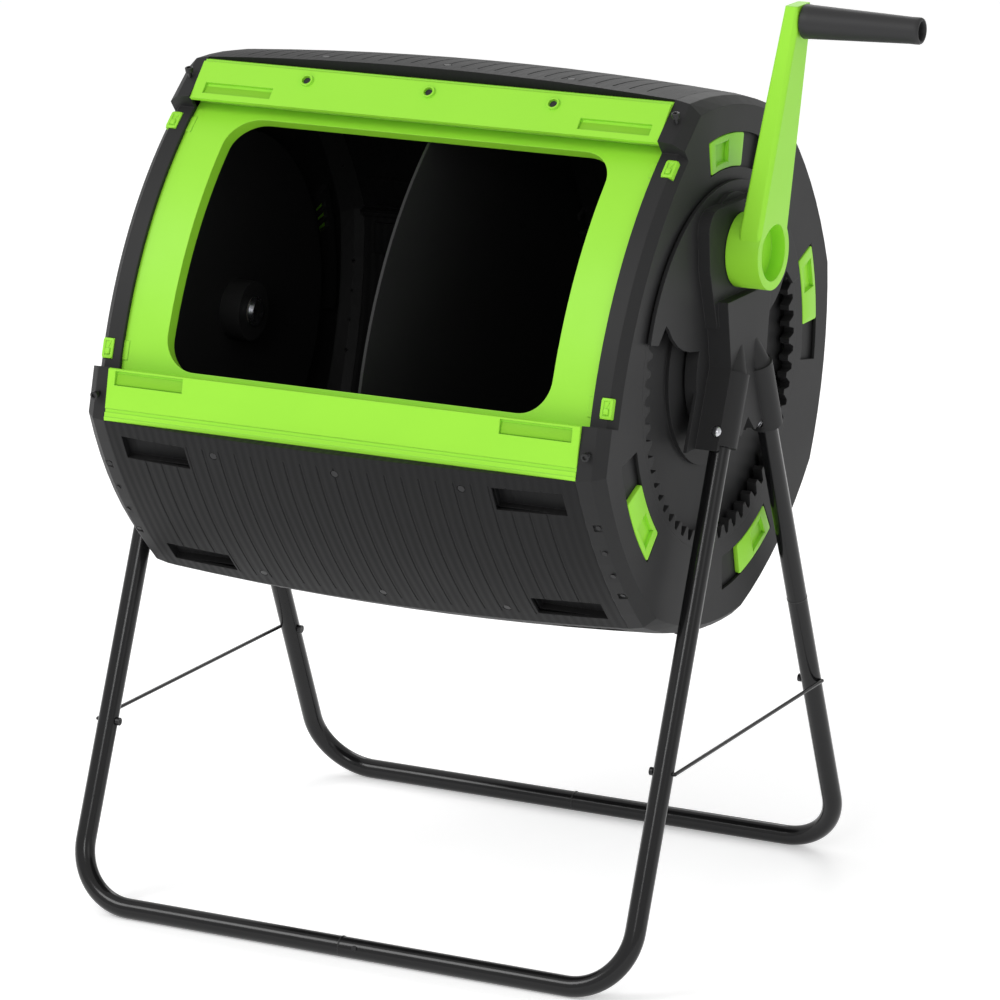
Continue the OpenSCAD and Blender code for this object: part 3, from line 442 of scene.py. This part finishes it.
def make_vent_slider(side, index):
    """A curved vent door with rounded corners and a sunk finger catch near the end it starts from."""
    start = SLIDER_STARTS[index - 1]
    x_back, x_face = (side * (CAP_X + depth) for depth in (SLIDER_BACK, SLIDER_FACE))

    def turned(place):
        return math.degrees(math.atan2(place.z - DRUM_AXIS.z, -place.y)) % 360.0 - start

    def on_face(place):
        return abs(place.x - x_face) < 1e-5

    form = bmesh.new()
    ends = [form.verts.new(DRUM_AXIS + out(start) * r + ALONG * x_back) for r in SLIDER_RADII]
    edge = form.edges.new(ends)
    bmesh.ops.spin(
        form, geom=[*ends, edge], cent=DRUM_AXIS, axis=ALONG,
        angle=-math.radians(SLIDER_SPAN), steps=SLIDER_STEPS,
    )
    block = bmesh.ops.extrude_face_region(form, geom=form.faces[:])["geom"]
    bmesh.ops.translate(form, verts=only(bmesh.types.BMVert, block), vec=ALONG * (x_face - x_back))
    bmesh.ops.recalc_face_normals(form, faces=form.faces)

    corners = []
    for rib in form.edges:
        first, second = (v.co for v in rib.verts)
        at_end = not END_MARGIN <= turned(first) <= SLIDER_SPAN - END_MARGIN
        if at_end and abs(first.x - second.x) > 0.001:
            corners.append(rib)
    soften(form, corners, SLIDER_CORNER, 3)

    rim = [
        e for e in form.edges
        if all(on_face(v.co) for v in e.verts)
        and sum(abs(f.normal.x) for f in e.link_faces) < 1.5
    ]
    soften(form, rim, SLIDER_RIM, 2)

    catch = []
    for face in form.faces:
        middle = face.calc_center_median()
        flat = abs(face.normal.x) > 0.9 and abs(middle.x - x_face) < 1e-4 and face.calc_area() > 1e-4
        if flat and CATCH_FROM < turned(middle) < CATCH_TO:
            catch.append(face)
    bmesh.ops.inset_region(form, faces=catch, thickness=CATCH_BORDER)
    bmesh.ops.inset_region(form, faces=catch, thickness=CATCH_WALL, depth=-CATCH_DEPTH)

    name = ("right" if side > 0 else "left") + "_vent_slider_" + str(index)
    piece = new_piece(name + "_door", form, GREEN, name.replace("_slider", ""))
    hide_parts(name)


CLIP_SPREAD = 16.0
CLIP_HEIGHT, CLIP_OFFSET = 0.0066, 0.0205


def make_clip_faces():
    """The catch plates on the door frame's clips, each with a sunk centre and a tongue."""
    form = bmesh.new()
    for side in (-1, 1):
        for angle in (DOOR_DIRECTION - CLIP_SPREAD, DOOR_DIRECTION + CLIP_SPREAD):
            outward = out(angle)
            up_curve = outward.cross(ALONG)
            centre = DOOR_CENTRE + outward * (DOOR_ARC_R + CLIP_HEIGHT)
            centre += ALONG * side * (RIM_X + CLIP_OFFSET)
            add_plate(
                form, basis(ALONG, up_curve, outward, centre),
                size=(0.0165, 0.0275, 0.0020), corner=0.0035, edge=0.0006,
                recess=(0.0032, 0.0006, 0.0012),
            )
            tongue = centre + outward * 0.0010 - up_curve * 0.004
            add_plate(
                form, basis(ALONG, up_curve, outward, tongue),
                size=(0.0070, 0.0080, 0.0024), corner=0.0012, edge=0.0005,
            )
    new_piece("frame_clip_faces", form, GREEN, "drum")


LEG_LEAN = math.atan2(STAND_HALF_DEPTH, LEG_APEX_Z - TUBE_R)
SEAM_PROFILE = [
    (-0.0010, 0.0138), (-0.0010, 0.0142), (-0.0004, 0.01445),
    (0.0004, 0.01445), (0.0010, 0.0142), (0.0010, 0.0138),
]
SEAM_STEPS = 40
FLOOR_SEAM_Z = 0.01448


def make_tube_seams():
    """Thin seam rings where the stand's tubes join, on the floor bars and the rear legs."""
    form = bmesh.new()
    for y in (-STAND_HALF_DEPTH, STAND_HALF_DEPTH):
        add_lathe(form, (0.0, y, FLOOR_SEAM_Z), SEAM_PROFILE, SEAM_STEPS)
    seam_y = (LEG_APEX_Z - LEG_SEAM_Z) * math.tan(LEG_LEAN)
    up_leg = Matrix.Rotation(LEG_LEAN, 4, "X") @ Matrix.Rotation(math.radians(90.0), 4, "Y")
    for side in (-1, 1):
        before = set(form.verts)
        add_lathe(form, (0.0, 0.0, 0.0), SEAM_PROFILE, SEAM_STEPS)
        ring = [v for v in form.verts if v not in before]
        place = Matrix.Translation((side * STAND_HALF_WIDTH, seam_y, LEG_SEAM_Z))
        bmesh.ops.transform(form, matrix=place @ up_leg, verts=ring)
    new_piece("tube_seams", form, SCREW, "stand")


# Each rail's slope, from its low to its high corner (y, z) off the drum's axis; where its recesses
# lie on it, up from the low corner or, below zero, down from the high one; and how far out along X
RAIL_RECESSES = (
    ((-0.132, 0.321), (-0.091, 0.365), 0.0145, 0.283),
    ((-0.369, -0.078), (-0.3545, -0.010), -0.0130, 0.288),
)
RECESS_DEPTH = 0.0034
RECESS_TILT = -3.0


def make_rail_recesses():
    """Sloping floors in the finger recesses of the two rails; their darker green is painted shade,
    standing for the shadow deep in the recesses.
    """
    form = bmesh.new()
    tilt = Matrix.Rotation(math.radians(RECESS_TILT), 4, "X")
    for low_corner, high_corner, up_slope, reach in RAIL_RECESSES:
        low, high = (Vector((0.0, *corner)) for corner in (low_corner, high_corner))
        slope = (high - low).normalized()
        face = ALONG.cross(slope)
        outward = -face if face.y > 0 else face
        spot = (low if up_slope > 0 else high) + slope * up_slope
        for x in (-reach, reach):
            place = basis(ALONG, slope, face, DRUM_AXIS + spot - outward * RECESS_DEPTH + ALONG * x)
            add_plate(form, place @ tilt, size=(0.1020, 0.0150, 0.0012), corner=0.0010, edge=0.0002)
    # The floors take the darker green: painted shade inside the recesses.
    new_piece("rail_recess_shade_floors", form, RECESS_SHADE_GREEN, "drum")


HEAD_R, HEAD_HEIGHT = 0.0056, 0.0034
HEAD_CHAMFER, HEAD_CHAMFER_RISE = 0.0008, 0.0004
SOCKET_BORDER, SOCKET_WALL, SOCKET_DEPTH = 0.0018, 0.0003, 0.0024
SCREWS_FROM_CORNER = (-5.0, -85.0)


def make_corner_heads():
    """Socket heads on the four corner screws."""
    form = bmesh.new()
    for side in (-1, 1):
        for turn in SCREWS_FROM_CORNER:
            outward = out(FIRST_CORNER + turn)
            centre = DRUM_AXIS + outward * (CORNER_R - 0.007) + ALONG * side * (RIM_X + 0.014)
            before = set(form.verts)
            bmesh.ops.create_circle(form, cap_ends=True, segments=24, radius=HEAD_R)
            disc = [f for f in form.faces if all(v not in before for v in f.verts)]
            raised = bmesh.ops.extrude_face_region(form, geom=disc)["geom"]
            top = only(bmesh.types.BMFace, raised)
            bmesh.ops.translate(form, verts=only(bmesh.types.BMVert, raised), vec=(0.0, 0.0, HEAD_HEIGHT))
            bmesh.ops.inset_region(form, faces=top, thickness=HEAD_CHAMFER, depth=HEAD_CHAMFER_RISE)
            bmesh.ops.inset_region(form, faces=top, thickness=SOCKET_BORDER)
            bmesh.ops.inset_region(form, faces=top, thickness=SOCKET_WALL, depth=-SOCKET_DEPTH)
            head = [v for v in form.verts if v not in before]
            place = basis(ALONG, outward.cross(ALONG), outward, centre)
            bmesh.ops.transform(form, matrix=place, verts=head)
    new_piece("corner_screw_heads", form, SCREW, "drum")


make_grip()
for number in (1, 2, 3, 4):
    for side in (-1, 1):
        make_vent_slider(side, number)
make_clip_faces()
make_tube_seams()
make_rail_recesses()
make_corner_heads()


# --- Camera, lights and floor --------------------------------------------------


def make_camera():
    """A long lens from the front right, a little above."""
    camera = bpy.data.objects.new("camera", bpy.data.cameras.new("camera"))
    bpy.context.scene.collection.objects.link(camera)
    turn, rise, roll = math.radians(26.963), math.radians(14.776), math.radians(0.142)
    back = Vector((math.sin(turn) * math.cos(rise), -math.cos(turn) * math.cos(rise), math.sin(rise)))
    level = Vector((math.cos(turn), math.sin(turn), 0.0))
    upright = back.cross(level)
    right = level * math.cos(roll) + upright * math.sin(roll)
    up = back.cross(right)
    place = Matrix((right, up, back)).transposed().to_4x4()
    place.translation = (3.1916, -6.1645, 2.3822)
    camera.matrix_world = place
    camera.data.lens = 187.9
    camera.data.sensor_width = 36.0
    bpy.context.scene.camera = camera


def make_lamp(name, place, target, size, power):
    """A round soft lamp turned to its target."""
    light = bpy.data.lights.new(name, "AREA")
    light.shape = "DISK"
    light.size = size
    light.energy = power
    lamp = bpy.data.objects.new(name, light)
    bpy.context.scene.collection.objects.link(lamp)
    lamp.location = place
    lamp.rotation_euler = (Vector(target) - Vector(place)).to_track_quat("-Z", "Y").to_euler()


def make_floor():
    """A wide pale floor that glows a little, so that it stays even to the horizon."""
    pale = bpy.data.materials.new("pale_floor")
    pale.use_nodes = True
    sockets = pale.node_tree.nodes["Principled BSDF"].inputs
    sockets["Base Color"].default_value = (0.98, 0.98, 0.98, 1.0)
    sockets["Roughness"].default_value = 0.9
    sockets["Emission Color"].default_value = (1.0, 1.0, 1.0, 1.0)
    sockets["Emission Strength"].default_value = 0.31
    mesh = bpy.data.meshes.new("floor")
    ground = bmesh.new()
    bmesh.ops.create_circle(ground, cap_ends=True, segments=96, radius=40.0)
    ground.to_mesh(mesh)
    ground.free()
    mesh.materials.append(pale)
    floor = bpy.data.objects.new("floor", mesh)
    bpy.context.scene.collection.objects.link(floor)


def make_studio():
    """A white surround, four soft lamps and the floor."""
    world = bpy.data.worlds.new("studio")
    bpy.context.scene.world = world
    world.use_nodes = True
    surround = world.node_tree.nodes["Background"].inputs
    surround["Color"].default_value = (1.0, 1.0, 1.0, 1.0)
    surround["Strength"].default_value = 0.70
    make_lamp("key_light", (-2.6, -3.6, 4.2), (0.0, 0.0, 0.7), 2.4, 92.0)
    make_lamp("side_light", (4.2, -1.6, 2.4), (0.2, 0.0, 0.7), 2.2, 9.0)
    make_lamp("back_light", (-1.0, 4.0, 3.4), (0.0, 0.0, 0.8), 2.0, 30.0)
    make_lamp("front_fill", (1.2, -4.6, 2.7), (0.0, 0.1, 0.8), 1.2, 24.0)
    make_floor()


make_camera()
make_studio()
bpy.context.scene.view_settings.view_transform = "Standard"
